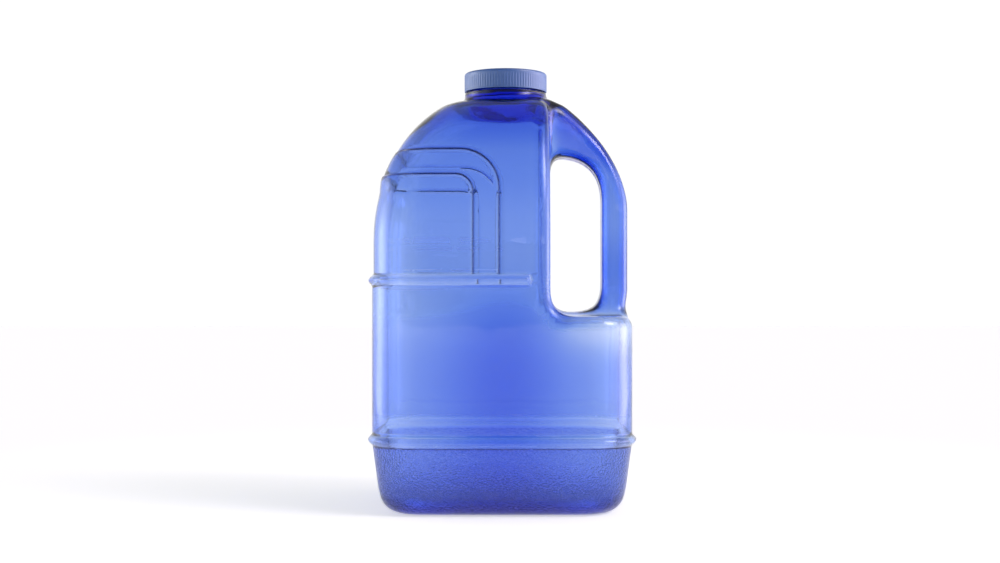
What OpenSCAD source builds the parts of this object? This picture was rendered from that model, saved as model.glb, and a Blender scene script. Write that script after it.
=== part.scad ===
// One-gallon water jug: a blow-moulded bottle with its own hollow handle, a
// screw cap and a sealing disc inside the cap. Millimetres, +Z up, the handle
// towards +X, origin at the middle of the base on the surface it stands on.

/* [Body] */
// Width of the body, left to right
body_w = 152.4; // [140:0.2:165]
// Depth of the body, front to back
body_d = 150; // [140:0.2:160]
// Radius of the body's upright corners
corner_r = 25; // [20:1:30]
// Thickness of the moulded wall
wall = 1.5; // [1.2:0.1:2]
// Height at which the shoulder meets the neck
shoulder_z = 243.5; // [235:0.5:255]

/* [Base] */
// Height of the flared base section under the lower rib
base_h = 39; // [34:1:44]
// How far each side of the base section leans in towards the bottom
base_taper = 2.6; // [0:0.2:4]
// Height of the curve between the side and the flat bottom
base_round = 16; // [10:1:18]
// Height of the hollow pushed up under the middle of the base
push_up = 3; // [1:0.5:4]

/* [Ribs and panels] */
// Height of the lower rib, which runs all the way round
low_rib_z = 43; // [41:1:50]
// Height of the middle rib, which stops short of the handle side
mid_rib_z = 135.6; // [125:0.2:142]
// Height of both ribs
rib_h = 6.6; // [5:0.2:8]
// How far the ribs stand out
rib_proud = 2.4; // [1.5:0.1:3]
// How far each arched panel is set back
panel_step = 1.2; // [0.6:0.1:1.4]
// Height of the top of the outer arch
arch_z = 211; // [205:1:216]
// Where the outer arch's leg comes down, from the middle of the body
arch_x = -1.7; // [-6:0.1:4]
// Corner radius of the outer arch
arch_r = 23; // [18:1:28]
// Width of the band between the two arches
band = 14.8; // [12:0.2:18]

/* [Handle] */
// Where the body's wall beside the handle stands, from the middle of the body
recess_x = 28.5; // [26:0.5:32]
// Height of the shelf under the handle
shelf_z = 116; // [108:1:122]
// Thickness of the grip, from the finger opening outwards
grip_t = 15.4; // [13:0.2:18]
// Width of the grip, front to back
grip_w = 28; // [24:1:34]
// Height of the top of the finger opening
opening_z = 212.4; // [206:0.2:216]

/* [Neck and cap] */
// Distance from the middle of the body to the neck's axis
neck_x = 2; // [0:0.5:4]
// Radius of the collar under the cap
collar_r = 25; // [24.6:0.1:25.2]
// Radius of the mouth
mouth_r = 20.4; // [19:0.1:20.8]
// Height of the threaded neck above the collar
finish_h = 9.4; // [8.5:0.1:11]
// Number of thread starts
starts = 3; // [2:1:4]
// Rise of the cap for one full turn
lead = 12.7; // [10:0.1:15]
// Outer radius of the cap over its grip ribs
cap_r = 25.25; // [25:0.05:26]
// Number of grip ribs round the cap
cap_ribs = 90; // [60:2:100]
// Thickness of the sealing disc
liner_t = 1; // [0.6:0.1:1.4]

/* [Hidden] */

$fn = 64;

// Shape of the body
half_w = body_w / 2;
half_d = body_d / 2;
corner_steps = 6;         // steps in each rounded corner of a section
shelf_round = 4.5;        // curve along the edges of the shelf
recess_round = 7;         // curve along the recess's upright edges
recess_corner = 12;       // fillet between the recess wall and the shelf
rib_stop = 12.8;           // the middle rib ends this far before the recess wall
inner_arch_r = 10.5;      // corner radius of the inner arch
lower_flat = 13;          // how far the bottom curve reaches in from the side
base_step = 1.2;          // height of the small step at the top of the base section
base_steps = 5;           // steps in the bottom curve
corner_ease = 0.4;        // share of an inset that the corner radius gives up
min_corner_r = 4;
push_up_margin = 9;       // flat ring between the bottom curve and the push-up
push_up_slope = 2;        // run of the push-up's side for each unit of rise
hollow_start = 1;         // the cut for the hollow starts this far under the bottom
hollow_lip = 0.9;         // share of the wall at which the hollow's side starts to rise inside

// Shape of the shoulder: a superellipse in both directions, centred on the neck
spring_z = 160;           // height at which the shoulder starts to curve in
shoulder_n = 2.2;         // power of its curve
shoulder_steps = 12;
body_overlap = 20;        // the upper body starts this far below the shelf
waist = 0.6;              // the body above the middle rib is this much slimmer a side
left_reach = half_w - waist + neck_x;
neck_root_r = 24.4;       // the shell's own neck stub, inside the collar
tiny = 0.1;               // keeps a radius clear of its limit
neck_share = neck_root_r / left_reach;
shoulder_rise = (shoulder_z - spring_z) / pow(1 - pow(neck_share, shoulder_n), 1 / shoulder_n);

// Shape of the handle
handle_x = half_w + 0.8;              // outer face of the grip
grip_x = handle_x - grip_t;           // inner face of the grip
crown_z = 173;                        // height at which the handle's outer edge starts to curve in
crown_rise = 78.8;                    // rise of that curve, an ellipse centred on the neck
crown_reach = handle_x - neck_x;
bend = [20, 30];                      // inner bend at the top of the grip, across and up
foot = [16, 17];                      // inner bend at the foot of the grip
foot_z = shelf_z + foot[1] - 0.5;
handle_fan = 57;                      // degrees of the crown's curve beside the inner bend
fan_start = 7;                        // the crown's curve has turned this far where the bend starts
root_fan = [70, 77];                  // and this far at the grip's root, outside and inside the body
root_drop = [1, 4];                   // the root's underside is this far below the opening's top
root_sink = 8;                        // the root ends this far inside the body
foot_spread = 3;                      // the grip is this much wider on each side at its foot
foot_sink = 12;                       // and starts this far below the shelf
foot_steps = 5;
bend_steps = 8;
handle_out = handle_x - half_w;       // how far the grip stands out past the body
handle_n = 2.6;                       // power of the grip's oval section
handle_sides = 20;
opening_round = 9;                    // fillet at the top of the finger opening, beside the body
fillet_back = 1;                      // a fillet starts this far inside the wall
fillet_inset = 4;                     // the top fillet is this much narrower than the grip on each side

// Neck and cap
bore_wall = 2.2;
collar_t = 1.9;                       // thickness of the collar's wall
collar_sink = 1.2;                    // the collar starts this far below the shoulder
collar_edge = 0.8;                    // bevel along the top of the collar
collar_rise = 7.5;                    // height of the collar above the shoulder
collar_step = 3;                      // the bore narrows to the mouth over this height
mouth_step = 0.6;                     // and the mouth's wall starts this far below the collar's top
lip_edge = 0.6;                       // bevel outside the lip
bore_reach = 10;                      // the neck's bore is cut this far below and above the shoulder
finish_r = mouth_r + bore_wall;       // root of the neck's thread
collar_top = shoulder_z + collar_rise;
lip_z = collar_top + finish_h;
thread_h = 1.2;                       // height of a thread ridge
thread_root = 2.2;                    // width of a ridge at its root
thread_tip = 0.9;                     // width of a ridge at its tip
thread_turn = 100;                    // degrees that each ridge runs
thread_gap = 0.35;                    // clearance between the two threads' tips and roots
thread_sink = 0.5;                    // a ridge's root is buried this deep
thread_steps = 10;
thread_reach = lead * thread_turn / 720 + thread_root / 2;
lip_gap = 0.7;                        // the thread ends this far under the lip
neck_thread_z = lip_z - lip_gap - thread_reach;
thread_drop = 1.75;                   // the cap's ridges bear up under the neck's
cap_thread_z = neck_thread_z - thread_drop;
ridge_end = 0.1;                      // share of a ridge's height left at its ends
cap_gap = 0.5;                        // gap between the cap's skirt and the collar
cap_bottom = collar_top + cap_gap;
cap_root_r = finish_r + thread_h + thread_gap;
cap_plate = 1.7;
cap_top = lip_z + liner_t + cap_plate;
cap_round = 1.4;
cap_rib_h = 0.3;
cap_rib_depth = 0.9;                  // share of their height that the ribs' valleys are cut
cap_edge = 0.4;                       // bevel inside the skirt's bottom edge
cap_rib_end = 0.3;                    // the ribs stop this far from the skirt's bottom and top
liner_gap = 0.2;
liner_r = cap_root_r - liner_gap;

// A ring of points: a rounded rectangle from x0 to x1 and from -y to y, with
// corner radius r0 on its left side and r1 on its right side.
function arc(cx, cy, r, from) =
    [for (i = [0 : corner_steps]) let (a = from + 90 * i / corner_steps) [cx + r * cos(a), cy + r * sin(a)]];
function ring(x0, x1, y, r0, r1, z) = [
    for (p = concat(arc(x1 - r1, y - r1, r1, 0), arc(x0 + r0, y - r0, r0, 90),
                    arc(x0 + r0, r0 - y, r0, 180), arc(x1 - r1, r1 - y, r1, 270)))
        [p[0], p[1], z]
];

// A closed solid through a stack of rings with the same number of points each.
module skin(rings) {
    n = len(rings[0]);
    last = n * (len(rings) - 1);
    polyhedron(
        points = [for (r = rings) each r],
        faces = concat(
            [[for (i = [0 : n - 1]) i]],
            [for (k = [0 : len(rings) - 2], i = [0 : n - 1]) each [
                [k * n + i, (k + 1) * n + i, (k + 1) * n + (i + 1) % n],
                [k * n + i, (k + 1) * n + (i + 1) % n, k * n + (i + 1) % n]]],
            [[for (i = [n - 1 : -1 : 0]) last + i]]));
}

// Lower body from the base up to the shelf, set in by w. The rings go up the
// bottom curve, the leaning base section and the straight side.
function low_ring(inset, z, w) =
    let (r = max(corner_r - w - inset * corner_ease, min_corner_r))
    ring(inset + w - half_w, half_w - inset - w, half_d - inset - w, r, r, z);
module lower_body(w) {
    skin(concat(
        [for (i = [0 : base_steps]) let (a = 90 * i / base_steps)
            low_ring(base_taper + waist + lower_flat * (1 - sin(a)), w + base_round * (1 - cos(a)), w)],
        [low_ring(waist, base_h, w), low_ring(0, base_h + base_step, w)],
        [for (i = [0 : 4]) let (a = 90 * i / 4)
            low_ring(shelf_round * (1 - cos(a)), shelf_z - shelf_round * (1 - sin(a)) - w, w)]));
}

// Upper body from below the shelf to the neck, set in by w. Its right side is
// the recess wall. Its shoulder shrinks to a circle on the neck's axis.
function high_ring(t, w) =
    let (s = pow(cos(t), 2 / shoulder_n), lift = pow(sin(t), 2 / shoulder_n),
         x0 = neck_x - (left_reach - w) * s,
         y = max((half_d - w) * s, neck_root_r - w),
         u = lift * lift * lift,
         x1 = recess_x * (1 - u) + (neck_x + neck_root_r) * u - w,
         r0 = min(corner_r - w, neck_x - x0 - tiny, neck_root_r - w - tiny),
         r1 = max(recess_round * (1 - u) + (neck_root_r - tiny) * u - w, 1))
    ring(min(x0, neck_x - neck_root_r + w), x1, y, r0, r1, spring_z + (shoulder_rise - w) * lift);
function top_angle(w) = acos(pow((neck_root_r - w) / (left_reach - w), shoulder_n / 2));
module upper_body(w) {
    skin(concat(
        [ring(neck_x - left_reach + w, recess_x - w, half_d - w, corner_r - w, recess_round - w,
              shelf_z - body_overlap)],
        [for (i = [0 : shoulder_steps]) high_ring(top_angle(w) * i / shoulder_steps, w)]));
}

// The arched panels: everything behind the arch's outline is set in one step more.
module arch(z, x, r) {
    left = -body_w;
    rotate([90, 0, 0])
        linear_extrude(height = 2 * body_d, center = true)
            union() {
                translate([left, mid_rib_z]) square([x - left - r, z - mid_rib_z]);
                translate([left, mid_rib_z]) square([x - left, z - r - mid_rib_z]);
                translate([x - r, z - r]) circle(r = r);
            }
}
module panelled_body(w) {
    difference() {
        upper_body(w);
        difference() {
            arch(arch_z, arch_x, arch_r);
            upper_body(w + panel_step);
        }
        difference() {
            arch(arch_z - band, arch_x - band, inner_arch_r);
            upper_body(w + 2 * panel_step);
        }
    }
}

// The grip: oval sections across a path that rises from the shelf, bends in
// over the finger opening and runs into the shoulder.
function grip_ring(inner, outer, half, w) =
    let (mid = (inner + outer) / 2, arm = (outer - inner) / 2, k = 1 - w / norm(arm))
    [for (i = [0 : handle_sides - 1])
        let (a = 360 * i / handle_sides,
             c = sign(cos(a)) * pow(abs(cos(a)), 2 / handle_n),
             s = sign(sin(a)) * pow(abs(sin(a)), 2 / handle_n))
        [mid[0] + arm[0] * k * c, (half - w) * s, mid[1] + arm[1] * k * c]];
function foot_x(z) = grip_x - foot[0] * (1 - sqrt(1 - pow(max(foot_z - z, 0) / foot[1], 2)));
function crown(a) = [neck_x + crown_reach * cos(a), crown_z + crown_rise * sin(a)];
module handle(w) {
    half = grip_w / 2;
    bend_z = opening_z - bend[1];
    sunk = shelf_z - foot_sink - w;
    skin(concat(
        [grip_ring([foot_x(shelf_z), sunk], [half_w - 1, sunk], half + foot_spread, w)],
        [for (i = [0 : foot_steps]) let (t = i / foot_steps, z = shelf_z + foot[1] * t)
            grip_ring([foot_x(z), z], [half_w + handle_out * t, z], half + foot_spread * pow(1 - t, 2), w)],
        [for (i = [0 : bend_steps])
            let (t = i / bend_steps,
                 inner = [grip_x - bend[0] * (1 - cos(90 * t)), bend_z + bend[1] * sin(90 * t)])
            grip_ring(inner, crown(fan_start + (handle_fan - fan_start) * t), half, w)],
        [grip_ring([recess_x, opening_z - root_drop[0]], crown(root_fan[0]), half, w)],
        [grip_ring([recess_x - root_sink - w, opening_z - root_drop[1]], crown(root_fan[1]), half, w)]));
}

// Fillets of the finger opening where it meets the recess wall, top and bottom.
module corner_fillet(x, z, r, up, half) {
    translate([x, 0, z])
        rotate([90, 0, 0])
            linear_extrude(height = 2 * half, center = true)
                difference() {
                    translate([-fillet_back, up > 0 ? -fillet_back : -r]) square(r + fillet_back);
                    translate([r, up * r]) circle(r = r);
                }
}

// A rib: a bead round the body's section at height z.
module rib(z, left, right, depth) {
    skin([for (i = [-3 : 3]) let (a = 30 * i, out = rib_proud * cos(a) - (abs(i) == 3 ? 1 : 0))
        ring(left - out, right + out, depth + out, corner_r + out, corner_r + out, z + rib_h / 2 * sin(a))]);
}
module ribs() {
    rib(low_rib_z, -half_w, half_w, half_d);
    intersection() {
        rib(mid_rib_z, neck_x - left_reach, half_w, half_d);
        translate([-body_w, -body_d, mid_rib_z - rib_h])
            cube([body_w + recess_x - rib_stop, 2 * body_d, 2 * rib_h]);
    }
}

// The hollow under the base, set in by w.
module base_hollow(w) {
    edge = base_taper + waist + lower_flat + push_up_margin;
    skin([
        low_ring(edge - 2 * w, -hollow_start - w, 0),
        low_ring(edge - 2 * w, w * hollow_lip, 0),
        low_ring(edge + push_up_slope * push_up - w, push_up + w, 0)]);
}

module jug_form(w) {
    difference() {
        union() {
            lower_body(w);
            panelled_body(w);
            handle(w);
        }
        base_hollow(w);
    }
}

// The moulded shell, brought to exactly its stated width and depth over the lower rib.
module shell() {
    resize([body_w + 2 * rib_proud, body_d + 2 * rib_proud, 0])
        difference() {
            union() {
                jug_form(0);
                ribs();
                corner_fillet(recess_x, shelf_z, recess_corner, 1, half_d - recess_round);
                corner_fillet(recess_x, opening_z, opening_round, -1, grip_w / 2 - fillet_inset);
            }
            jug_form(wall);
            translate([neck_x, 0, shoulder_z - bore_reach])
                cylinder(r = neck_root_r - wall, h = 2 * bore_reach);
        }
}

// One helical thread ridge, its root buried in a wall at radius r. It stands
// out for side = 1 and in for side = -1, and its ends run out to nothing.
module thread_ridge(r, side, z, from) {
    skin([for (i = [0 : thread_steps])
        let (a = from + thread_turn * i / thread_steps,
             up = z + lead * thread_turn / 360 * (i / thread_steps - 0.5),
             full = i == 0 || i == thread_steps ? ridge_end : 1,
             r0 = r - side * thread_sink,
             r1 = r + side * thread_h * full)
        [for (p = [[r0, thread_root / 2], [r1, thread_tip / 2],
                   [r1, -thread_tip / 2], [r0, -thread_root / 2]])
            [p[0] * cos(a), p[0] * sin(a), up + side * p[1]]]]);
}
module threads(r, side, z) {
    for (k = [0 : starts - 1])
        thread_ridge(r, side, z, 360 * k / starts);
}

// The neck: a collar, then the threaded finish with its mouth.
module neck() {
    translate([neck_x, 0, 0]) {
        rotate_extrude()
            polygon([
                [collar_r - collar_t, shoulder_z - collar_sink], [collar_r, shoulder_z - collar_sink],
                [collar_r, collar_top - collar_edge], [collar_r - collar_edge, collar_top],
                [finish_r, collar_top], [finish_r, lip_z - lip_edge], [finish_r - lip_edge, lip_z],
                [mouth_r, lip_z], [mouth_r, collar_top - mouth_step],
                [collar_r - collar_t, collar_top - collar_step]]);
        threads(finish_r, 1, neck_thread_z);
    }
}

module bottle() {
    color([0.35, 0.5, 0.9, 0.5])
        union() {
            shell();
            neck();
        }
}

module cap() {
    color([0.62, 0.76, 0.95])
        translate([neck_x, 0, 0])
            union() {
                rotate_extrude()
                    polygon(concat(
                        [[0, lip_z + liner_t], [cap_root_r, lip_z + liner_t],
                         [cap_root_r, cap_bottom + cap_edge], [cap_root_r + cap_edge, cap_bottom],
                         [cap_r - cap_rib_h, cap_bottom]],
                        [for (i = [0 : corner_steps]) let (a = 90 * i / corner_steps)
                            [cap_r - cap_rib_h - cap_round * (1 - cos(a)),
                             cap_top - cap_round * (1 - sin(a))]],
                        [[0, cap_top]]));
                cap_grip();
                threads(cap_root_r, -1, cap_thread_z);
            }
}

// Fine upright ribs round the skirt.
module cap_grip() {
    translate([0, 0, cap_bottom + cap_rib_end])
        linear_extrude(height = cap_top - cap_round - cap_bottom - 2 * cap_rib_end)
            difference() {
                polygon([for (i = [0 : 2 * cap_ribs - 1])
                    let (a = 180 * i / cap_ribs, r = cap_r - (i % 2) * cap_rib_h * cap_rib_depth)
                        r * [cos(a), sin(a)]]);
                circle(r = cap_r - 2 * cap_rib_h);
            }
}

module cap_liner() {
    color([0.93, 0.94, 0.95])
        translate([neck_x, 0, lip_z])
            cylinder(r = liner_r, h = liner_t);
}

bottle();
cap();
cap_liner();
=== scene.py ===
"""The looks of a blow-moulded one-gallon water jug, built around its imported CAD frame.

The bottle is one closed plastic wall. Its body, recess and grip are a distance field that is meshed once for
the outside and once, set in by the wall, for the inside. Its threaded neck is turned on a lathe and joined to
both. The cap and its sealing disc are turned too. Lengths are millimetres until a mesh is made.
"""
import math

import bmesh
import bpy
import numpy as np
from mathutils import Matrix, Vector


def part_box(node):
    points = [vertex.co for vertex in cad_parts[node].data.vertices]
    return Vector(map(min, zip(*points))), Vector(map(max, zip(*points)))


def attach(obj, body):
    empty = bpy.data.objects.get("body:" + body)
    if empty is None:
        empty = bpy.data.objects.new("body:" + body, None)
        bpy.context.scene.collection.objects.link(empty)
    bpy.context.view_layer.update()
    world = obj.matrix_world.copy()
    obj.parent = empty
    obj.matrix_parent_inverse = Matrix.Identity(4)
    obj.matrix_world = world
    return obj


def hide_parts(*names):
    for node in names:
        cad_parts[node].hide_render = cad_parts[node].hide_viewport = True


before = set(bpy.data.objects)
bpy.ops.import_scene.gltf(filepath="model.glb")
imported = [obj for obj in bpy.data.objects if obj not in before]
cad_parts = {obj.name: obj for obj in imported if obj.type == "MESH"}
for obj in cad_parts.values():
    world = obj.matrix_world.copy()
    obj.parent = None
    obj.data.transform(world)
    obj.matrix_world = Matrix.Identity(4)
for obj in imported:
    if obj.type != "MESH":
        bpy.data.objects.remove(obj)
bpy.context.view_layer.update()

MM = 0.001


def mm_box(node):
    low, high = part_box(node)
    return [c / MM for c in low], [c / MM for c in high]


# ---------------------------------------------------------------- sizes, in millimetres, from the frame
bottle_high = mm_box("bottle")[1]
cap_low, cap_high = mm_box("cap")
liner_low, liner_high = mm_box("cap_liner")

RIB_OUT = 2.4                                       # how far both ribs stand out
SIDE_BULGE = 0.6                                    # the left and right sides swell this much
FACE_BULGE = 1.6                                    # the front and back swell more
PARTING_RIDGE = 0.12                                # the mould's faint seam, in the plane y = 0
PARTING_HALF = 0.4
HALF_W = bottle_high[0] - RIB_OUT - SIDE_BULGE - PARTING_RIDGE
HALF_D = bottle_high[1] - RIB_OUT - FACE_BULGE
NECK_X = (cap_low[0] + cap_high[0]) / 2             # axis of the neck and cap
CAP_R = (cap_high[0] - cap_low[0]) / 2
LIP_Z = bottle_high[2]
FINISH_H = 9.4                                      # threaded neck above the collar
COLLAR_TOP = LIP_Z - FINISH_H
COLLAR_R = CAP_R - 0.25
COLLAR_FILLET = 5.0
COLLAR_FOOT_Z = 236.0                               # the collar reaches down to here, inside the shoulder
CUT_Z = COLLAR_TOP - 1.9                            # where the turned neck takes over from the field
WALL = 1.6                                          # thickest part of the blown wall, low down in mid-face
NECK_EXTRA = 2.3                                    # the wall is this much thicker at the neck
BASE_EXTRA = 0.8                                    # and this much at the bottom
INSIDE_SOFT = 2.0                                   # the inside follows the outside's details only roughly

CORNER_R = 25.0
WAIST = 0.6                                         # the body is this much slimmer above the middle rib
SPRING_Z = 158.0                                    # the shoulder is an ellipse that starts here
SHOULDER_RISE = 95.5
SHOULDER_SHARE = 0.944                              # of that rise, as far as the ellipse is followed
SHOULDER_REACH = HALF_W - WAIST + NECK_X
LAND_Z = COLLAR_TOP - 6.9                           # flat land round the neck
LAND_EDGE = 4.0
BASE_H = 40.5                                       # base section under the lower rib
BASE_STEP = 0.1
BASE_LEAN = 3.0                                     # its walls lean in this much over LEAN_H
LEAN_H = 24.0
BASE_ROUND = 16.0
PUSH_UP = 3.0                                       # the middle of the bottom is this much higher
PUSH_UP_SIDE = (0.72, 0.56)                         # it rises between these shares of the way to the sides
LOW_RIB_Z = 43.0
MID_RIB_Z = 135.6
RIB_HALF = 3.5
MID_RIB_END = 15.8

ARCH_Z = 211.0                                      # top of the outer arch
ARCH_X = -1.7                                       # its leg
ARCH_R = 23.0
BAND = 14.8                                         # between the two arches
INNER_ARCH_R = 10.5
PANEL_STEPS = (1.3, 1.3)                            # depth of the outer and the inner step
EDGE = 0.9                                          # width of a step's slope
PANEL_FADE = (0.9, -46, -62)                        # share of the steps that fades to the left, over these x
PANEL_RAISE = (0.7, -58, -66)                       # and share that turns outwards there, over RAISE_Z
RAISE_Z = (184, 196)
CREASE_SHADE_WIDTH = 0.75                                 # half width of the painted shade line along each step

RECESS_X = 27.6
SHELF_Z = 114.8
RECESS_CORNER = 15.0
RECESS_EDGE = 7.5
GRIP_OUT = HALF_W + SIDE_BULGE + 0.3
GRIP_IN = GRIP_OUT - 15.7
GRIP_HALF = 14.0
GRIP_ROUND = 7.2
GRIP_BLEND = 7.0                                    # softness of its joint with the body
GRIP_FOOT_Z = 96.0                                  # it reaches down to here, inside the body
GRIP_TUCK = 1.6                                     # its outer edge draws in this much at the shelf
FOOT_SPREAD = 2.5                                   # it is this much wider at the shelf
ROOT_SPREAD = 11.0                                  # and this much at its root in the shoulder
CROWN_Z = 180.0                                     # the grip's outer edge curves in above this
CROWN_RISE = 73.8
CROWN_REACH = GRIP_OUT - NECK_X
CROWN_POWERS = (1.76, 1.71)
OPENING_TOP = 211.4
OPENING_ROUND = (28, 19, 11)                        # softness of its top, foot and inner corners

STARTS = 3
LEAD = 12.7
RIDGE_H = 1.2
RIDGE_ROOT = 2.2
RIDGE_TIP = 0.9
RIDGE_TURN = 100.0                                  # degrees round the neck
RIDGE_END = 12.0                                    # degrees over which a ridge rises at its ends
FINISH_R = 22.6
MOUTH_R = 20.4
NECK_RIDGE_Z = LIP_Z - 0.7 - LEAD * RIDGE_TURN / 720 - RIDGE_ROOT / 2
CAP_RIDGE_Z = NECK_RIDGE_Z - 1.75                   # the cap's ridges lie just under the neck's
THREAD_GAP = 0.35
CAP_RIBS = 90
CAP_RIB_DEPTH = 0.2
BORE_R = COLLAR_R - WALL - NECK_EXTRA               # inside of the collar

OUTER_STEP = 2.75                                   # grid of the outside, where it is coarse
INNER_STEP = 3.0
ARCH_REACHES = (2.2, 1.6, 1.2, 0.9)                 # the mesh is split in turn this near to the arches' lines
ARCH_FINEST = 0.18
BACK_CREASE_SHADE = 0.2                                   # strength of the arches' painted shade line on the back
NECK_COLUMNS = 144
CAP_COLUMNS = 540
LINER_COLUMNS = 96


# ---------------------------------------------------------------- field helpers
def smooth_min(a, b, k):
    h = np.maximum(k - np.abs(a - b), 0) / k
    return np.minimum(a, b) - h * h * k / 4


def smooth_max(a, b, k):
    return -smooth_min(-a, -b, k)


def ramp(low, high, v):
    t = np.clip((v - low) / (high - low), 0, 1)
    return t * t * (3 - 2 * t)


def bump(t):
    """1 at t = 0, falling smoothly to 0 at t = 1 and -1."""
    return np.clip(1 - t * t, 0, 1) ** 1.5


def rounded_corner(u, v, r):
    """Distance to the quarter plane u < 0, v < 0 with its corner rounded."""
    u, v = u + r, v + r
    return np.hypot(np.maximum(u, 0), np.maximum(v, 0)) + np.minimum(np.maximum(u, v), 0) - r


# ---------------------------------------------------------------- the bottle's outer form
def body_field(x, y, z, soft):
    """The ribbed body with its shoulder and panels, before the recess is cut."""
    t = np.clip((z - SPRING_Z) / SHOULDER_RISE, 0, SHOULDER_SHARE)
    s = np.sqrt(1 - t * t)
    slope = SHOULDER_REACH * t / (SHOULDER_RISE * s)
    waist = WAIST * ramp(MID_RIB_Z - 3, MID_RIB_Z + 3, z)
    base = BASE_STEP * ramp(BASE_H + 2, BASE_H - 1, z) + BASE_LEAN * np.clip((BASE_H - z) / LEAN_H, 0, 1.2)
    left = np.where(z > SPRING_Z, NECK_X - SHOULDER_REACH * s, waist + base - HALF_W)
    right = np.where(z > SPRING_Z, NECK_X + SHOULDER_REACH * s, HALF_W - base)
    half_x = (right - left) / 2
    half_y = HALF_D * s - base
    mid_x = (right + left) / 2
    u = np.abs(x - mid_x) - half_x - SIDE_BULGE * np.clip(1 - (y / half_y) ** 2, 0, 1)
    v = np.abs(y) - half_y - FACE_BULGE * np.clip(1 - ((x - mid_x) / half_x) ** 2, 0, 1)
    d = rounded_corner(u, v, CORNER_R) / np.sqrt(1 + slope * slope)
    side = ((x / HALF_W) ** 4 + (y / HALF_D) ** 4) ** 0.25
    bottom = PUSH_UP * ramp(*PUSH_UP_SIDE, side)
    d = smooth_max(d, bottom - z, BASE_ROUND)
    d = smooth_max(d, z - LAND_Z, LAND_EDGE)
    return d + panel_depth(x, z, soft) - rib_height(x, z, soft)


def panel_depth(x, z, soft):
    """How far the wall is set back inside the arches' outlines, one step for each."""
    above_rib = ramp(MID_RIB_Z + 1, MID_RIB_Z + 5, z)
    raised = PANEL_RAISE[0] * ramp(*PANEL_RAISE[1:], x) * ramp(*RAISE_Z, z)
    fade = 1 - PANEL_FADE[0] * ramp(*PANEL_FADE[1:], x) - raised
    outer, inner = panel_outlines(x, z)
    slope = EDGE / 2 + soft
    steps = PANEL_STEPS[0] * ramp(slope, -slope, outer) + PANEL_STEPS[1] * ramp(slope, -slope, inner)
    return steps * fade * above_rib


def rib_height(x, z, soft):
    """How far the ribs stand out: the low one all round, the middle one up to MID_RIB_END."""
    half = RIB_HALF + soft / 6
    low = bump((z - LOW_RIB_Z) / half)
    mid = bump((z - MID_RIB_Z) / half) * ramp(MID_RIB_END + 0.5 + soft / 2, MID_RIB_END - 0.9, x)
    return (RIB_OUT - soft / 10) * (low + mid)


def crown_field(x, z):
    """Distance, in the plane y = 0, to the curve of the grip's outer edge and of its root's top."""
    u = np.maximum(x - NECK_X, 1) / CROWN_REACH
    v = np.maximum(z - CROWN_Z, 0) / CROWN_RISE
    value = u ** CROWN_POWERS[0] + v ** CROWN_POWERS[1] - 1
    slope_x = CROWN_POWERS[0] * u ** (CROWN_POWERS[0] - 1) / CROWN_REACH
    slope_z = CROWN_POWERS[1] * v ** (CROWN_POWERS[1] - 1) / CROWN_RISE
    edge = np.where(z > CROWN_Z, value / np.hypot(slope_x, slope_z), x - NECK_X - CROWN_REACH)
    return smooth_max(edge, z - LAND_Z, LAND_EDGE)


def opening_field(x, z):
    """Distance to the finger opening's outline in the plane y = 0, negative in the opening."""
    top, foot, inner = OPENING_ROUND
    d = smooth_max(x - GRIP_IN, z - OPENING_TOP, top)
    d = smooth_max(d, SHELF_Z - z, foot)
    return smooth_max(d, RECESS_X - 0.4 - x, inner)


def grip_field(x, y, z):
    """The grip and its roots: the plate between the crown and the opening, with rounded edges."""
    crown = crown_field(x, z) + GRIP_TUCK * ramp(SHELF_Z + 16, SHELF_Z + 2, z)
    flat = smooth_max(crown, -opening_field(x, z), 4)
    flat = np.maximum(np.maximum(flat, GRIP_FOOT_Z - z), NECK_X - 2 - x)
    foot = FOOT_SPREAD * ramp(SHELF_Z + 18, SHELF_Z - 2, z)
    root = ROOT_SPREAD * ramp(58, 26, x) * ramp(204, 236, z)
    return rounded_corner(flat, np.abs(y) - GRIP_HALF - foot - root, GRIP_ROUND)


def bottle_field(x, y, z, soft=0):
    """The outside. With soft above 0 its steps and ribs are blurred that much, as they are inside."""
    body = body_field(x, y, z, soft)
    keep = smooth_min(x - RECESS_X, z - SHELF_Z, RECESS_CORNER)
    body = smooth_max(body, keep, RECESS_EDGE)
    d = smooth_min(body, grip_field(x, y, z), GRIP_BLEND)
    collar = np.maximum(np.hypot(x - NECK_X, y) - COLLAR_R, COLLAR_FOOT_Z - z)
    d = smooth_min(d, collar, COLLAR_FILLET)
    if soft > 0:
        return d
    return d - PARTING_RIDGE * np.exp(-((y / PARTING_HALF) ** 2)) * ramp(0.6, 2, z)


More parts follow.
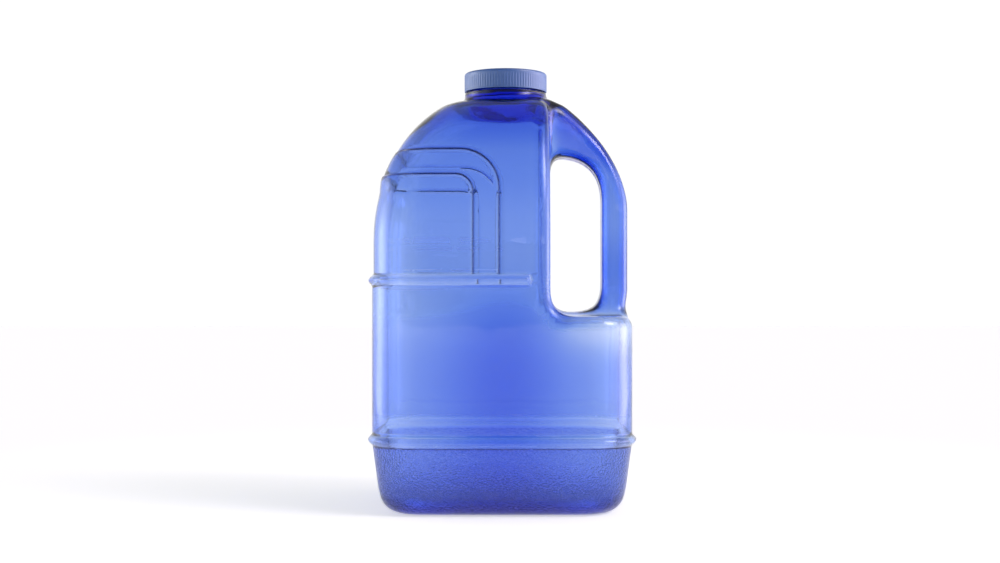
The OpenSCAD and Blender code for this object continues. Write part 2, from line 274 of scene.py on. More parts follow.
def wall(x, y, z):
    """Thickness of the blown wall. The jug's blue is deepest where it is thickest."""
    across = np.abs(x - NECK_X)
    grip = ramp(40, 50, x) * ramp(SHELF_Z - 2, SHELF_Z + 8, z)
    low = ramp(150, 110, z)
    # by height: thick low down, thinner in the base section, thicker again in the shoulder
    level = 0.66 + 0.57 * ramp(152, 74, z) - 0.25 * ramp(42, 32, z)
    level = level + 0.1 * ramp(165, 210, z) + 0.4 * ramp(220, 236, z)
    # thinner towards the sides, most of all low down, and at the corners
    thin = 1 - (0.36 * ramp(0, 55, across) + 0.06 * ramp(0, 35, x)) * low
    thin = thin - (0.3 - 0.15 * low) * ramp(46, 68, across) * (1 - grip)
    # stretched thin at the recess's edge, under the shelf and in the ribs
    thin = thin - 0.35 * np.exp(-((x - RECESS_X) / 6) ** 2) * ramp(SHELF_Z - 8, SHELF_Z + 6, z)
    thin = thin - 0.25 * ramp(15, 50, x) * ramp(80, 106, z) * ramp(SHELF_Z + 8, SHELF_Z, z)
    thin = thin - 0.35 * bump((z - LOW_RIB_Z) / RIB_HALF)
    thin = thin - 0.2 * bump((z - MID_RIB_Z) / RIB_HALF) * ramp(18, 14, x)
    # gathered in the grip's foot and root, round the neck and at the bottom
    foot = 0.3 * grip * ramp(175, 140, z)
    root = 0.6 * ramp(30, 38, x) * ramp(200, 216, z) * ramp(244, 234, z)
    neck_r = np.hypot(x - NECK_X, y) - 5 * ramp(15, 24, x)
    neck = NECK_EXTRA * ramp(32.5, 27.5, neck_r) * ramp(232, 242, z)
    return WALL * level * thin + foot + root + neck + BASE_EXTRA * ramp(14, 1, z)


def cavity_field(x, y, z):
    return bottle_field(x, y, z, INSIDE_SOFT) + wall(x, y, z)


def blurred_field(x, y, z):
    """The outside with its steps and ribs blurred away. Its gradient says which way a detail stands out."""
    return bottle_field(x, y, z, 6.0)


def panel_outlines(x, z):
    outer = rounded_corner(x - ARCH_X, z - ARCH_Z, ARCH_R)
    inner = rounded_corner(x - ARCH_X + BAND, z - ARCH_Z + BAND, INNER_ARCH_R)
    return outer, inner


def outline_distance(x, y, z):
    """Distance to the nearest of the arches' outlines. It is far where they have none."""
    far = 9.0
    outer, inner = panel_outlines(x, z)
    nearest = np.where(np.abs(outer) < np.abs(inner), outer, inner)
    return np.where((z > MID_RIB_Z + 3) & (np.abs(y) + np.abs(x) > 40), nearest, far)


# ---------------------------------------------------------------- meshing a field
def spacing(low, high, coarse, fine_ranges):
    """Grid lines from low to high: coarse steps, with finer steps inside each (from, to, step) range."""
    lines = [low]
    while lines[-1] < high - 1e-9:
        here = lines[-1]
        size = coarse
        for start, end, fine in fine_ranges:
            if start - 1e-9 <= here < end - 1e-9:
                size = min(size, fine)
            elif here < start < here + size:
                size = start - here
        lines.append(min(here + size, high))
    return np.array(lines)


def surface_net(field, xs, ys, zs):
    """Points and outward quads of the field's zero surface, over a grid of uneven lines."""
    f = field(xs[:, None, None], ys[None, :, None], zs[None, None, :])
    f = np.broadcast_to(f, (len(xs), len(ys), len(zs)))
    inside = f < 0
    corners = [(i, j, k) for i in (0, 1) for j in (0, 1) for k in (0, 1)]
    n = [s - 1 for s in f.shape]
    count = sum(inside[i:n[0] + i, j:n[1] + j, k:n[2] + k].astype(np.int8) for i, j, k in corners)
    cells = np.argwhere((count > 0) & (count < 8))
    number = np.full(n, -1, np.int64)
    number[tuple(cells.T)] = np.arange(len(cells))
    points = np.zeros((len(cells), 3))
    hits = np.zeros(len(cells))
    for a in corners:
        for axis in range(3):
            if a[axis]:
                continue
            b = list(a)
            b[axis] = 1
            ia, ib = cells + a, cells + b
            fa, fb = f[tuple(ia.T)], f[tuple(ib.T)]
            cross = (fa < 0) != (fb < 0)
            share = np.where(cross, fa / np.where(cross, fa - fb, 1), 0)[:, None]
            pa = np.stack([xs[ia[:, 0]], ys[ia[:, 1]], zs[ia[:, 2]]], 1)
            pb = np.stack([xs[ib[:, 0]], ys[ib[:, 1]], zs[ib[:, 2]]], 1)
            points += np.where(cross[:, None], pa + (pb - pa) * share, 0)
            hits += cross
    points /= hits[:, None]
    faces = []
    for axis in range(3):
        u, v = (axis + 1) % 3, (axis + 2) % 3
        low = [slice(1, -1)] * 3
        low[axis] = slice(0, -1)
        high = [slice(1, -1)] * 3
        high[axis] = slice(1, None)
        starts, ends = inside[tuple(low)], inside[tuple(high)]
        for leaving in (True, False):
            at = np.argwhere((starts & ~ends) if leaving else (~starts & ends))
            at += [0 if i == axis else 1 for i in range(3)]
            loop = [(0, 0), (-1, 0), (-1, -1), (0, -1)]
            ids = []
            for du, dv in (loop if leaving else loop[::-1]):
                cell = at.copy()
                cell[:, u] += du
                cell[:, v] += dv
                ids.append(number[tuple(cell.T)])
            faces.append(np.stack(ids, 1))
    return points, np.concatenate(faces)


def gradient(field, p, h=0.05):
    g = np.empty_like(p)
    for i in range(3):
        d = np.zeros(3)
        d[i] = h
        g[:, i] = (field(*(p + d).T) - field(*(p - d).T)) / (2 * h)
    return g


def settle(field, points, faces, fixed, rounds=2):
    """Evens out the points along the surface and puts each one exactly on it."""
    edges = np.concatenate([faces[:, [0, 1]], faces[:, [1, 2]], faces[:, [2, 3]], faces[:, [3, 0]]])
    edges = np.concatenate([edges, edges[:, ::-1]])
    degree = np.bincount(edges[:, 0], minlength=len(points))[:, None]
    for turn in range(rounds + 1):
        for _ in range(2):
            g = gradient(field, points)
            size = np.maximum((g * g).sum(1), 0.05)
            move = -(field(*points.T) / size)[:, None] * g
            move *= np.minimum(1, 1 / np.maximum(np.linalg.norm(move, axis=1, keepdims=True), 1e-9))
            points = points + np.where(fixed[:, None], 0, move)
        if turn == rounds:
            break
        sums = [np.bincount(edges[:, 0], points[edges[:, 1], i], len(points)) for i in range(3)]
        mean = np.stack(sums, 1) / degree
        normal = g / np.linalg.norm(g, axis=1, keepdims=True)
        slide = mean - points
        slide -= (slide * normal).sum(1, keepdims=True) * normal
        points = points + np.where(fixed[:, None], 0, 0.5 * slide)
    return points


def field_shell(field, xs, ys, zs, rim_r):
    """The field's surface up to the last grid plane, with its open rim on a circle there, and the numbers of
    the rim's points in order of angle."""
    points, faces = surface_net(field, xs, ys, zs)
    edges = np.sort(np.stack([faces, np.roll(faces, -1, 1)], 2).reshape(-1, 2), 1)
    edges, uses = np.unique(edges, axis=0, return_counts=True)
    rim = np.unique(edges[uses == 1])
    angle = np.arctan2(points[rim, 1], points[rim, 0] - NECK_X)
    order = rim[np.argsort(angle)]
    angle = np.sort(angle)
    heights = np.full(len(angle), zs[-1])
    points[order] = np.stack([NECK_X + rim_r * np.cos(angle), rim_r * np.sin(angle), heights], 1)
    fixed = np.zeros(len(points), bool)
    fixed[order] = True
    return settle(field, points, faces, fixed), faces, order


def refine(points, faces, distance, reaches, finest):
    """Splits the edges that cross or nearly reach the zero line of distance, once for each reach."""
    bm = bmesh.new()
    verts = [bm.verts.new(p) for p in points]
    for f in faces:
        bm.faces.new([verts[i] for i in f])
    for reach in reaches:
        where = np.array([v.co for v in bm.verts])
        bm.verts.index_update()
        d = distance(*where.T)
        ends = np.array([(e.verts[0].index, e.verts[1].index) for e in bm.edges])
        a, b = d[ends[:, 0]], d[ends[:, 1]]
        near = (np.minimum(np.abs(a), np.abs(b)) < reach) | (a * b < 0)
        cut = near & (np.abs(a - b) > finest) & (np.maximum(np.abs(a), np.abs(b)) < 5)
        bm.edges.ensure_lookup_table()
        chosen = [bm.edges[i] for i in np.flatnonzero(cut)]
        bmesh.ops.subdivide_edges(bm, edges=chosen, cuts=1, use_grid_fill=True)
    bm.verts.index_update()
    points = np.array([v.co for v in bm.verts])
    faces = [[v.index for v in f.verts] for f in bm.faces]
    bm.free()
    return points, faces


def drop(field, along, points, fixed):
    """Moves each point onto the field along the gradient of a smoother field."""
    for _ in range(5):
        n = gradient(along, points)
        n /= np.linalg.norm(n, axis=1, keepdims=True)
        rate = np.maximum((gradient(field, points, 0.02) * n).sum(1), 0.3)
        move = np.clip(field(*points.T) / rate, -0.8, 0.8)
        points = points - np.where(fixed, 0, move)[:, None] * n
    return points


def part_sheets(points, faces):
    """Gives each of two sheets that touch along an edge its own point in the edge's middle."""
    users = {}
    for number, face in enumerate(faces):
        for a, b in zip(face, [*face[1:], face[0]]):
            users.setdefault((min(a, b), max(a, b)), []).append(number)
    for (a, b), around in users.items():
        if len(around) != 4:
            continue
        middle = (points[a] + points[b]) / 2
        axis = (points[b] - points[a]) / np.linalg.norm(points[b] - points[a])
        arms = [points[list(faces[n])].mean(0) - middle for n in around]
        arms = [arm - (arm @ axis) * axis for arm in arms]
        ahead = arms[0] / np.linalg.norm(arms[0])
        across = np.cross(axis, ahead)
        turn = [math.atan2(arm @ across, arm @ ahead) for arm in arms]
        order = sorted(range(4), key=lambda i: turn[i])
        gaps = [(turn[order[(i + 1) % 4]] - turn[order[i]]) % (2 * math.pi) for i in range(4)]
        start = 0 if gaps[0] + gaps[2] < gaps[1] + gaps[3] else 1
        for first in (start, start + 2):
            pair = [order[first], order[(first + 1) % 4]]
            side = sum(arms[i] for i in pair)
            points = np.concatenate([points, [middle + 0.05 * side / max(np.linalg.norm(side), 1e-9)]])
            for i in pair:
                face = [int(n) for n in faces[around[i]]]
                at = face.index(a)
                place = at + 1 if face[(at + 1) % len(face)] == b else at
                faces[around[i]] = face[:place] + [len(points) - 1] + face[place:]
    return points, faces


# ---------------------------------------------------------------- turned parts
def turned(profile, columns, shift=None):
    """Points of a lathe surface from a list of (radius, height). shift adds to the radius at each point."""
    angle = 2 * math.pi * np.arange(columns) / columns - math.pi
    r = np.array([p[0] for p in profile])[:, None] * np.ones(columns)
    z = np.array([p[1] for p in profile])[:, None] * np.ones(columns)
    if shift is not None:
        r = r + shift(angle[None, :], r, z)
    return np.stack([NECK_X + r * np.cos(angle), r * np.sin(angle), z], 2)


def grid_faces(rows, columns, first=0):
    """Quads between the rows of a closed band, facing out where the profile goes up on the outside."""
    k, i = np.meshgrid(np.arange(rows - 1) * columns, np.arange(columns), indexing="ij")
    j = (i + 1) % columns
    return np.stack([k + i, k + j, k + columns + j, k + columns + i], 2).reshape(-1, 4) + first


def lathe(profile, columns, shift=None):
    """A closed turned body: the first and last points of the profile are on the axis."""
    rows = len(profile) - 2
    points = turned(profile[1:-1], columns, shift).reshape(-1, 3)
    poles = np.array([[NECK_X, 0, profile[0][1]], [NECK_X, 0, profile[-1][1]]])
    bottom, top = len(points), len(points) + 1
    ring = np.arange(columns)
    after = (ring + 1) % columns
    last = (rows - 1) * columns
    faces = list(grid_faces(rows, columns))
    faces += [(bottom, b, a) for a, b in zip(ring, after)]
    faces += [(top, a, b) for a, b in zip(ring + last, after + last)]
    return np.concatenate([points, poles]), faces


def zip_rings(lower, lower_angle, upper, upper_angle):
    """Triangles between two rings of points in order of angle, facing out when upper is above."""
    faces = []
    i = j = 0
    n, m = len(lower), len(upper)
    while i < n or j < m:
        a = lower_angle[(i + 1) % n] + (2 * math.pi if i + 1 >= n else 0)
        b = upper_angle[(j + 1) % m] + (2 * math.pi if j + 1 >= m else 0)
        if j >= m or (i < n and a <= b):
            faces.append((lower[i % n], lower[(i + 1) % n], upper[j % m]))
            i += 1
        else:
            faces.append((lower[i % n], upper[(j + 1) % m], upper[j % m]))
            j += 1
    return faces


def arc_points(cx, cz, r, start, end, steps):
    """Points of an arc in a profile, angles in degrees from the outward direction."""
    return [(cx + r * math.cos(math.radians(a)), cz + r * math.sin(math.radians(a)))
            for a in np.linspace(start, end, steps + 1)]


def ridge_shift(side, centre, low, high):
    """Shift of a wall with screw ridges between two heights. side is 1 when they stand out and -1 in."""
    def shift(angle, r, z):
        out = np.zeros_like(z * angle)
        for k in range(STARTS):
            turn = np.degrees(angle - 2 * math.pi * k / STARTS) % 360
            middle = centre + LEAD * (turn - RIDGE_TURN / 2) / 360
            ends = ramp(0, RIDGE_END, turn) * ramp(RIDGE_TURN, RIDGE_TURN - RIDGE_END, turn)
            flank = (RIDGE_ROOT - RIDGE_TIP) / 2
            across = ramp(0, 1, (RIDGE_ROOT / 2 - np.abs(z - middle)) / flank)
            out = np.maximum(out, RIDGE_H * ends * across)
        return side * out * ((z > low) & (z < high))
    return shift


def make_object(name, points, faces):
    mesh = bpy.data.meshes.new(name)
    mesh.from_pydata([tuple(p) for p in (points * MM)], [], [tuple(int(i) for i in f) for f in faces])
    mesh.shade_smooth()
    piece = bpy.data.objects.new(name, mesh)
    bpy.context.scene.collection.objects.link(piece)
    return piece


def neck_profile():
    """The threaded finish from the collar over the lip and down the bore, as (radius, height)."""
    collar_r, lip_r, bore_r = 0.8, 0.6, 0.4
    rise = np.arange(COLLAR_TOP + 0.6, LIP_Z - 0.7, 0.3)
    fall = np.linspace(LIP_Z - 1, COLLAR_TOP - 0.4, 8)
    return (
        [(COLLAR_R, CUT_Z + 0.8)]
        + arc_points(COLLAR_R - collar_r, COLLAR_TOP - collar_r, collar_r, 0, 90, 4)
        + [(FINISH_R + 0.4, COLLAR_TOP), (FINISH_R, COLLAR_TOP + 0.3)]
        + [(FINISH_R, z) for z in rise]
        + arc_points(FINISH_R - lip_r, LIP_Z - lip_r, lip_r, 0, 90, 4)
        + arc_points(MOUTH_R + bore_r, LIP_Z - bore_r, bore_r, 90, 180, 4)
        + [(MOUTH_R, z) for z in fall]
        + [(BORE_R, CUT_Z + 0.6)])


def outer_skin():
    """The field's outside, with a fine grid at the grip, the seam and the ribs and along the arches."""
    fine_x = [(59, 79, 1.7), (12, 20, 1.2), (22, 40, 1.7)]
    fine_y = [(-18, -1.2, 1.68), (-1.2, 1.2, 0.3), (1.2, 18, 1.68)]
    fine_z = [(0, 17, 1.6), (39, 47, 0.7), (131, 140, 0.7), (239, CUT_Z, 0.8)]
    xs = spacing(-81.7, 82, OUTER_STEP, fine_x)
    ys = spacing(-80.4, 80.4, OUTER_STEP, fine_y)
    zs = spacing(-3, CUT_Z, OUTER_STEP, fine_z)
    points, faces, rim = field_shell(bottle_field, xs, ys, zs, COLLAR_R)
    points, faces = refine(points, faces, outline_distance, ARCH_REACHES, ARCH_FINEST)
    return drop(bottle_field, blurred_field, points, points[:, 2] > CUT_Z - 1e-3), faces, rim


def inner_skin():
    """The field's inside, on a coarser grid."""
    fine_x = [(-22, 3, 1.6), (59, 79, 2)]
    fine_y = [(-17, 17, 2)]
    fine_z = [(38, 48, 1.3), (130, 141, 1.3), (186, 216, 1.6), (238.3, CUT_Z, 1.2)]
    xs = spacing(-82, 82, INNER_STEP, fine_x)
    ys = spacing(-80.4, 80.4, INNER_STEP, fine_y)
    zs = spacing(-3, CUT_Z, INNER_STEP, fine_z)
    return field_shell(cavity_field, xs, ys, zs, BORE_R)


def set_normals(mesh, points, skins):
    """Takes the normals of each (from, to, field, sign) run of points from its field's gradient."""
    normals = np.array([tuple(n.vector) for n in mesh.vertex_normals])
    for start, stop, field, sign in skins:
        g = gradient(field, points[start:stop])
        normals[start:stop] = sign * g / np.linalg.norm(g, axis=1, keepdims=True)
    mesh.normals_split_custom_set_from_vertices([tuple(n) for n in normals])


def crease_shade_strength(points):
    """How strongly shade is painted along the arches' lines at each outside point. It is faint on the back.
    """
    x, y, z = points.T
    strength = np.exp(-(outline_distance(x, y, z) / CREASE_SHADE_WIDTH) ** 2)
    return strength * np.where(y < 0, 1, BACK_CREASE_SHADE) * ramp(30, 45, np.abs(y))


def build_bottle():
    outer, outer_faces, outer_rim = outer_skin()
    inner, inner_faces, inner_rim = inner_skin()
    profile = neck_profile()
    threads = ridge_shift(1, NECK_RIDGE_Z, COLLAR_TOP, LIP_Z - 0.5)
    neck = turned(profile, NECK_COLUMNS, threads).reshape(-1, 3)
    points = np.concatenate([outer, inner, neck])
    first_inner = len(outer)
    first_neck = first_inner + len(inner)
    inner_rim = inner_rim + first_inner
    faces = list(outer_faces) + [f[::-1] for f in inner_faces + first_inner]
    faces += list(grid_faces(len(profile), NECK_COLUMNS, first_neck))
    first_row = np.arange(NECK_COLUMNS) + first_neck
    last_row = first_row + (len(profile) - 1) * NECK_COLUMNS
    row_angle = 2 * math.pi * np.arange(NECK_COLUMNS) / NECK_COLUMNS - math.pi

    def rim_angle(rim):
        return np.arctan2(points[rim, 1], points[rim, 0] - NECK_X)

    faces += zip_rings(outer_rim, rim_angle(outer_rim), first_row, row_angle)
    faces += [f[::-1] for f in zip_rings(inner_rim, rim_angle(inner_rim), last_row, row_angle)]
    points, faces = part_sheets(points, faces)
    bottle = make_object("bottle_shell", points, faces)
    skins = ((0, first_inner, bottle_field, 1), (first_inner, first_neck, cavity_field, -1))
    set_normals(bottle.data, points, skins)
    # painted shade along the arches' lines, kept on each outside point for the material
    painted_crease_shade = np.zeros(len(points))
    painted_crease_shade[:first_inner] = crease_shade_strength(outer)
    bottle.data.attributes.new("painted_crease_shade", "FLOAT", "POINT").data.foreach_set("value", painted_crease_shade)
    return bottle


def build_cap():
    """The hollow cap: ridges in its bore, ribs round its skirt and a shallow dish in its top."""
    bore_r = FINISH_R + RIDGE_H + THREAD_GAP
    bottom, top = cap_low[2], cap_high[2]
    under = liner_high[2]
    rib_low, rib_high = bottom + 0.7, top - 1.9
    rise = np.arange(bottom + 0.8, under - 0.3, 0.3)
    round_r = 1.5
    dish = 0.35
    profile = (
        [(0, under), (3, under), (bore_r * 0.5, under), (bore_r - 0.3, under), (bore_r, under - 0.3)]
        + [(bore_r, z) for z in rise[::-1]]
        + [(bore_r + 0.25, bottom + 0.12), (bore_r + 0.5, bottom)]
        + [(CAP_R - 0.35, bottom), (CAP_R, bottom + 0.35)]
        + [(CAP_R, z) for z in np.linspace(rib_low, rib_high, 9)]
        + arc_points(CAP_R - round_r, top - round_r, round_r, 8, 90, 7)
        + [(CAP_R - 3.2, top), (CAP_R - 3.7, top - 0.3), (12, top - 0.34)]
        + [(1.2, top - dish), (0, top - dish)])
    ridge = ridge_shift(-1, CAP_RIDGE_Z, bottom + 0.2, under)

    def shift(angle, r, z):
        outside = (r > bore_r + 0.6) & (z < rib_high + 0.01)
        fade = ramp(bottom, rib_low + 0.5, z) * ramp(rib_high + 0.01, rib_high - 1.2, z)
        groove = (0.5 - 0.5 * np.cos(angle * CAP_RIBS)) ** 0.8
        return ridge(angle, r, z) * (np.abs(r - bore_r) < 0.02) - CAP_RIB_DEPTH * groove * fade * outside

    return make_object("screw_cap", *lathe(profile, CAP_COLUMNS, shift))


def build_liner():
    """The sealing disc, with the faint ring that the lip presses into its underside."""
    r = (liner_high[0] - liner_low[0]) / 2
    low, high = liner_low[2] + 0.02, liner_high[2] - 0.02
    pressed = low + 0.06
    edge_r = 0.25
    profile = (
        [(0, low), (3, low), (MOUTH_R - 0.6, low), (MOUTH_R, pressed)]
        + [(FINISH_R - 0.5, pressed), (FINISH_R + 0.2, low)]
        + arc_points(r - edge_r, low + edge_r, edge_r, -90, 0, 3)
        + arc_points(r - edge_r, high - edge_r, edge_r, 0, 90, 3)
        + [(3, high), (0, high)])
    return make_object("sealing_disc", *lathe(profile, LINER_COLUMNS))


# ---------------------------------------------------------------- materials, in metres
CLEAR = (1.0, 1.0, 1.0)
TINT = (0.0, 0.32, 0.9)                             # what the plastic lets through in depth
TINT_DENSITY = 820
# painted shade: the dark blue painted along the arches' steps
CREASE_SHADE = (0.01, 0.02, 0.12)
PEBBLE_SHADE = (0.5, 0.58, 0.86)
PEBBLE_SCALE = 900
PEBBLE_Z = (0.0405, 0.0385)                         # the pebbling fades in over this height
PEBBLE_DEPTH = 0.00014
WAVE_DEPTH = 0.00008
CAP_BLUES = ((0.04, 0.12, 0.37), (0.05, 0.14, 0.43))
GRAIN_DEPTH = 0.00003
FOAM_GREYS = ((0.1, 0.14, 0.3), (0.06, 0.09, 0.22))
CELL_DEPTH = 0.00006


def new_material(name):
    m = bpy.data.materials.new(name)
    m.use_nodes = True
    nodes, links = m.node_tree.nodes, m.node_tree.links
    return m, nodes, links, nodes["Principled BSDF"]


def add_noise(nodes, links, place, scale, detail=3.0):
    noise = nodes.new("ShaderNodeTexNoise")
    noise.inputs["Scale"].default_value = scale
    noise.inputs["Detail"].default_value = detail
    links.new(place, noise.inputs["Vector"])
    return noise.outputs["Fac"]


def add_cells(nodes, links, place, scale):
    cells = nodes.new("ShaderNodeTexVoronoi")
    cells.inputs["Scale"].default_value = scale
    links.new(place, cells.inputs["Vector"])
    return cells.outputs["Distance"]


def map_range(nodes, links, value, low, high, to_low, to_high):
    node = nodes.new("ShaderNodeMapRange")
    for name, number in (("From Min", low), ("From Max", high), ("To Min", to_low), ("To Max", to_high)):
        node.inputs[name].default_value = number
    links.new(value, node.inputs["Value"])
    return node.outputs["Result"]


def mix_colour(nodes, links, factor, a, b):
    """Mix of two colours, each a tuple or an output, by a factor output."""
    node = nodes.new("ShaderNodeMix")
    node.data_type = "RGBA"
    links.new(factor, node.inputs["Factor"])
    for name, colour in (("A", a), ("B", b)):
        if isinstance(colour, tuple):
            node.inputs[name].default_value = (*colour, 1)
        else:
            links.new(colour, node.inputs[name])
    return node.outputs["Result"]


def add_bump(nodes, links, height, distance, strength=1.0, under=None):
    node = nodes.new("ShaderNodeBump")
    node.inputs["Distance"].default_value = distance
    if isinstance(strength, float):
        node.inputs["Strength"].default_value = strength
    else:
        links.new(strength, node.inputs["Strength"])
    links.new(height, node.inputs["Height"])
    if under is not None:
        links.new(under, node.inputs["Normal"])
    return node.outputs["Normal"]


def math_node(nodes, links, kind, a, b=0.0):
    node = nodes.new("ShaderNodeMath")
    node.operation = kind
    for socket, value in zip(node.inputs, (a, b)):
        if isinstance(value, (int, float)):
            socket.default_value = value
        else:
            links.new(value, socket)
    return node.outputs[0]


def bottle_material():
    """Clear blue polycarbonate, tinted in its depth, faintly wavy, and pebbled below the lower rib, with
    shade painted along the arches' lines.
    """
    m, nodes, links, shader = new_material("blue_clear_plastic")
    place = nodes.new("ShaderNodeTexCoord").outputs["Object"]
    split = nodes.new("ShaderNodeSeparateXYZ")
    links.new(place, split.inputs[0])
    zone = map_range(nodes, links, split.outputs["Z"], *PEBBLE_Z, 0, 1)
    pebble = add_cells(nodes, links, place, PEBBLE_SCALE)
    speck = math_node(nodes, links, "MULTIPLY", zone, map_range(nodes, links, pebble, 0.2, 0.6, 0, 0.85))
    # painted shade: the base colour darkens to dark blue along the arches' steps
    painted_crease_shade = nodes.new("ShaderNodeAttribute")
    painted_crease_shade.attribute_name = "painted_crease_shade"
    tone = mix_colour(nodes, links, speck, CLEAR, PEBBLE_SHADE)
    tone = mix_colour(nodes, links, painted_crease_shade.outputs["Fac"], tone, CREASE_SHADE)
    links.new(tone, shader.inputs["Base Color"])
    smear = map_range(nodes, links, add_noise(nodes, links, place, 90), 0.3, 0.7, 0.02, 0.045)
    frost = math_node(nodes, links, "MULTIPLY", zone, 0.12)
    links.new(math_node(nodes, links, "ADD", smear, frost), shader.inputs["Roughness"])
    shader.inputs["Transmission Weight"].default_value = 1
    shader.inputs["IOR"].default_value = 1.55
    waves = add_bump(nodes, links, add_noise(nodes, links, place, 45, 1.0), WAVE_DEPTH)
    links.new(add_bump(nodes, links, pebble, PEBBLE_DEPTH, zone, waves), shader.inputs["Normal"])
    tint = nodes.new("ShaderNodeVolumeAbsorption")
    tint.inputs["Color"].default_value = (*TINT, 1)
    tint.inputs["Density"].default_value = TINT_DENSITY
    links.new(tint.outputs["Volume"], nodes["Material Output"].inputs["Volume"])
    return m


def cap_material():
    """Slate-blue polypropylene with the fine grain of a moulded cap."""
    m, nodes, links, shader = new_material("slate_blue_plastic")
    place = nodes.new("ShaderNodeTexCoord").outputs["Object"]
    grain = add_noise(nodes, links, place, 2600, 2.0)
    tone = mix_colour(nodes, links, add_noise(nodes, links, place, 120), *CAP_BLUES)
    links.new(tone, shader.inputs["Base Color"])
    links.new(map_range(nodes, links, grain, 0.3, 0.7, 0.34, 0.44), shader.inputs["Roughness"])
    shader.inputs["Specular IOR Level"].default_value = 1
    shader.inputs["IOR"].default_value = 1.6
    links.new(add_bump(nodes, links, grain, GRAIN_DEPTH), shader.inputs["Normal"])
    return m


def liner_material():
    """Blue-grey closed-cell foam."""
    m, nodes, links, shader = new_material("grey_blue_foam")
    place = nodes.new("ShaderNodeTexCoord").outputs["Object"]
    cells = add_cells(nodes, links, place, 2400)
    links.new(mix_colour(nodes, links, cells, *FOAM_GREYS), shader.inputs["Base Color"])
    rough = map_range(nodes, links, add_noise(nodes, links, place, 900), 0.3, 0.7, 0.6, 0.8)
    links.new(rough, shader.inputs["Roughness"])
    links.new(add_bump(nodes, links, cells, CELL_DEPTH), shader.inputs["Normal"])
    return m


# ---------------------------------------------------------------- the jug's pieces
bottle = build_bottle()
bottle.data.materials.append(bottle_material())
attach(bottle, "bottle")
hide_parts("bottle")

cap = build_cap()
cap.data.materials.append(cap_material())
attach(cap, "cap")
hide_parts("cap")

liner = build_liner()
liner.data.materials.append(liner_material())
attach(liner, "liner")
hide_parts("cap_liner")


# ---------------------------------------------------------------- floor, light and camera, in metres
CAMERA_Y = -0.9
CAMERA_Z = 0.124
ROOM_FRONT = 0.2                                    # brightness of the room on the camera's side
ROOM_BACK = 1.03                                    # and behind the jug
ROOM_TOP = 0.35                                     # share of it that is left above
FLOOR_SIZE = 6.0
FLOOR_WHITE = (0.94, 0.94, 0.95, 1)
FLOOR_GLOW = 0.38                                   # lifts the floor to the same white as the wall behind
SHADOW_GLOW = 0.54                                  # and more round the jug, which lightens its shadow
SHADOW_REACH = (0.15, 0.6)
VIEW_SPREAD = 0.4                                   # just over half the picture's width, 1 m from the camera
# azimuth from the camera's side towards the right, elevation, spread (degrees), power and colour
SIDE_LIGHTS = (
    (-103, 0, 18, 3.7, (0.88, 0.92, 1.0)),
    (-62, 6, 16, 0.9, (0.72, 0.9, 1.0)),
    (101, 0, 18, 4.0, (1.0, 0.86, 0.98)),
    (70, 4, 22, 0.7, (1.0, 0.86, 1.0)),
)
TOP_LIGHTS = ((66, 36, 13, 9.0, (1.0, 0.93, 1.0)),)


def vector_node(nodes, links, kind, a, b=None):
    node = nodes.new("ShaderNodeVectorMath")
    node.operation = kind
    links.new(a, node.inputs[0])
    if isinstance(b, tuple):
        node.inputs[1].default_value = b
    elif b is not None:
        links.new(b, node.inputs["Scale"] if kind == "SCALE" else node.inputs[1])
    return node.outputs["Value" if kind in ("DOT_PRODUCT", "LENGTH") else "Vector"]


def grey(nodes, links, level):
    """A colour with the output level in all its parts."""
    node = nodes.new("ShaderNodeCombineXYZ")
    for socket in node.inputs:
        links.new(level, socket)
    return node.outputs["Vector"]


def add_lobes(nodes, links, direction, lights, total):
    """Adds a smooth glow round each light's direction to the colour output total."""
    for azimuth, elevation, spread, power, colour in lights:
        a, e = math.radians(azimuth), math.radians(elevation)
        towards = (math.sin(a) * math.cos(e), -math.cos(a) * math.cos(e), math.sin(e))
        dot = vector_node(nodes, links, "DOT_PRODUCT", direction, towards)
        sharp = 1 / (1 - math.cos(math.radians(spread)))
        away = math_node(nodes, links, "MULTIPLY", math_node(nodes, links, "SUBTRACT", dot, 1), sharp)
        shade = nodes.new("ShaderNodeCombineXYZ")
        for socket, part in zip(shade.inputs, colour):
            socket.default_value = part * power
        fall = math_node(nodes, links, "EXPONENT", away)
        glow = vector_node(nodes, links, "SCALE", shade.outputs["Vector"], fall)
        total = vector_node(nodes, links, "ADD", total, glow)
    return total


def smooth_range(nodes, links, value, low, high, to_low, to_high):
    result = map_range(nodes, links, value, low, high, to_low, to_high)
    result.node.interpolation_type = "SMOOTHSTEP"
    return result


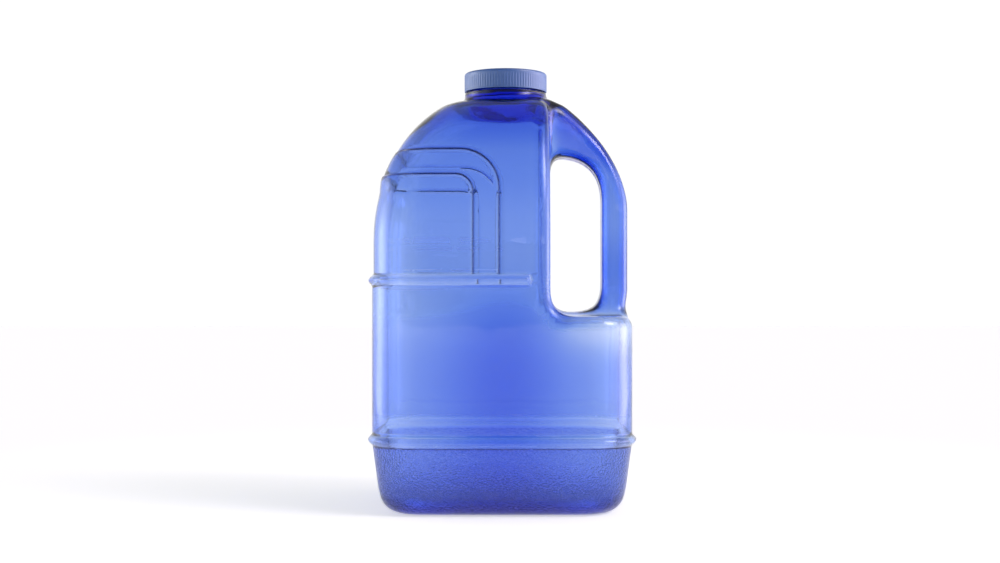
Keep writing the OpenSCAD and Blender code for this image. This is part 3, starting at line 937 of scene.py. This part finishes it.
def build_floor():
    """A plain white floor. To the left and right of the picture it shines like the side lights above it."""
    mesh = bpy.data.meshes.new("floor")
    size = FLOOR_SIZE
    corners = [(-size, -size, 0), (size, -size, 0), (size, size, 0), (-size, size, 0)]
    mesh.from_pydata(corners, [], [(0, 1, 2, 3)])
    floor = bpy.data.objects.new("floor", mesh)
    bpy.context.scene.collection.objects.link(floor)
    m, nodes, links, shader = new_material("pale_floor")
    shader.inputs["Base Color"].default_value = FLOOR_WHITE
    shader.inputs["Roughness"].default_value = 0.7
    shader.inputs["Specular IOR Level"].default_value = 0
    place = nodes.new("ShaderNodeTexCoord").outputs["Object"]
    split = nodes.new("ShaderNodeSeparateXYZ")
    links.new(place, split.inputs[0])
    from_camera = math_node(nodes, links, "ADD", split.outputs["Y"], -CAMERA_Y)
    view_edge = math_node(nodes, links, "MULTIPLY", from_camera, VIEW_SPREAD)
    sideways = math_node(nodes, links, "ABSOLUTE", split.outputs["X"])
    outside = math_node(nodes, links, "SUBTRACT", sideways, view_edge)
    none = nodes.new("ShaderNodeCombineXYZ").outputs["Vector"]
    glow = add_lobes(nodes, links, vector_node(nodes, links, "NORMALIZE", place), SIDE_LIGHTS, none)
    glow = vector_node(nodes, links, "SCALE", glow, smooth_range(nodes, links, outside, 0.1, 0.45, 0, 1))
    reach = vector_node(nodes, links, "LENGTH", place)
    plain = grey(nodes, links, smooth_range(nodes, links, reach, *SHADOW_REACH, SHADOW_GLOW, FLOOR_GLOW))
    links.new(vector_node(nodes, links, "ADD", glow, plain), shader.inputs["Emission Color"])
    shader.inputs["Emission Strength"].default_value = 1
    mesh.materials.append(m)


def set_world():
    """A white room: bright behind the jug, dimmer on the camera's side and above. Soft lights stand on both
    sides, cool on the left and pinkish on the right, and a small one is high on the right."""
    world = bpy.data.worlds.new("studio")
    world.use_nodes = True
    nodes, links = world.node_tree.nodes, world.node_tree.links
    place = nodes.new("ShaderNodeTexCoord").outputs["Generated"]
    split = nodes.new("ShaderNodeSeparateXYZ")
    links.new(place, split.inputs[0])
    behind = smooth_range(nodes, links, split.outputs["Y"], -0.55, 0.35, ROOM_FRONT, ROOM_BACK)
    top = smooth_range(nodes, links, split.outputs["Z"], 0.24, 0.65, 1, ROOM_TOP)
    room = grey(nodes, links, math_node(nodes, links, "MULTIPLY", behind, top))
    total = add_lobes(nodes, links, place, SIDE_LIGHTS + TOP_LIGHTS, room)
    links.new(total, nodes["Background"].inputs["Color"])
    nodes["Background"].inputs["Strength"].default_value = 1
    bpy.context.scene.world = world


def add_camera():
    """A level camera, with its picture shifted so that the jug is where the photo has it."""
    data = bpy.data.cameras.new("camera")
    camera = bpy.data.objects.new("camera", data)
    data.sensor_width = 36
    data.lens = 52.6
    data.shift_x = -0.0056
    data.shift_y = 0.0185
    camera.location = (NECK_X * MM, CAMERA_Y, CAMERA_Z)
    camera.rotation_euler = (math.pi / 2, 0, 0)
    bpy.context.scene.collection.objects.link(camera)
    bpy.context.scene.camera = camera


build_floor()
set_world()
add_camera()
scene = bpy.context.scene
scene.view_settings.view_transform = "Standard"
scene.cycles.max_bounces = 32
scene.cycles.transmission_bounces = 32
scene.cycles.glossy_bounces = 8
scene.cycles.use_denoising = True
